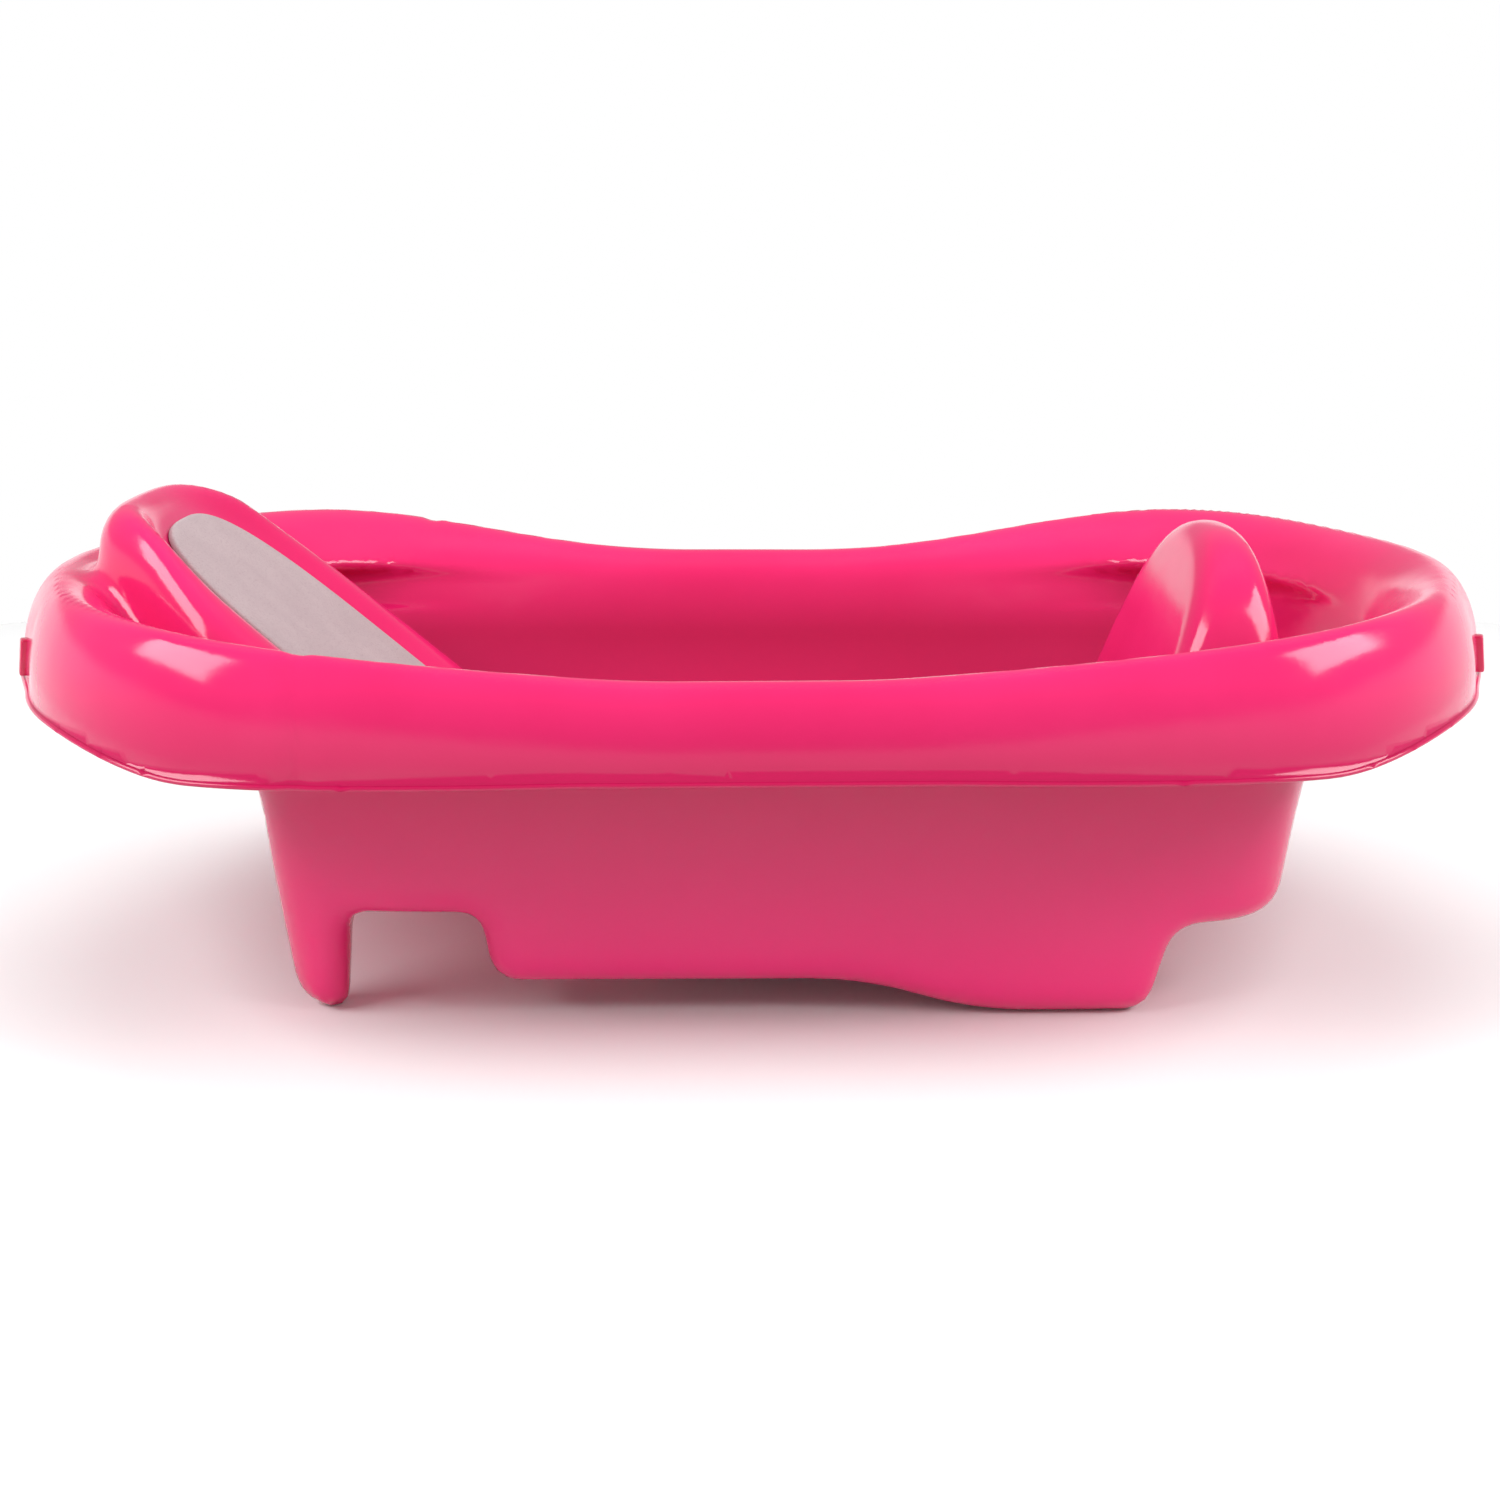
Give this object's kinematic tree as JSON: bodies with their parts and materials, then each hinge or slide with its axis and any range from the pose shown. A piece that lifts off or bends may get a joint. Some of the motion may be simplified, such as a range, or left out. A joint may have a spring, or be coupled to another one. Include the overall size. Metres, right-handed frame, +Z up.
{
  "type": "baby bathtub",
  "caption": "Moulded plastic baby bathtub with a wide rolled rim, a reclined padded infant backrest, an upright toddler backrest, a stepped floor and a drain plug.",
  "frame": {"origin": "centre of the tub's plan, on the ground it stands on", "axes": "+X along the length towards the toddler end, +Y across the tub, +Z up"},
  "size_m": [0.724, 0.474, 0.225],
  "materials": {
    "tub_plastic": "glossy moulded pink",
    "pad_foam": "matte grey closed-cell foam",
    "pad_adhesive": "thin bonding film",
    "plug_rubber": "soft satin pink stopper"
  },
  "bodies": {
    "tub": {"tub_shell": "tub_plastic", "backrest_pad": "pad_foam", "pad_film": "pad_adhesive"},
    "plug": {"drain_plug": "plug_rubber"}
  },
  "joints": [
    {"name": "plug_pull", "type": "slide", "parent": "tub", "child": "plug", "axis": [0, 0, 1], "range_m": [0, 0.05]}
  ]
}
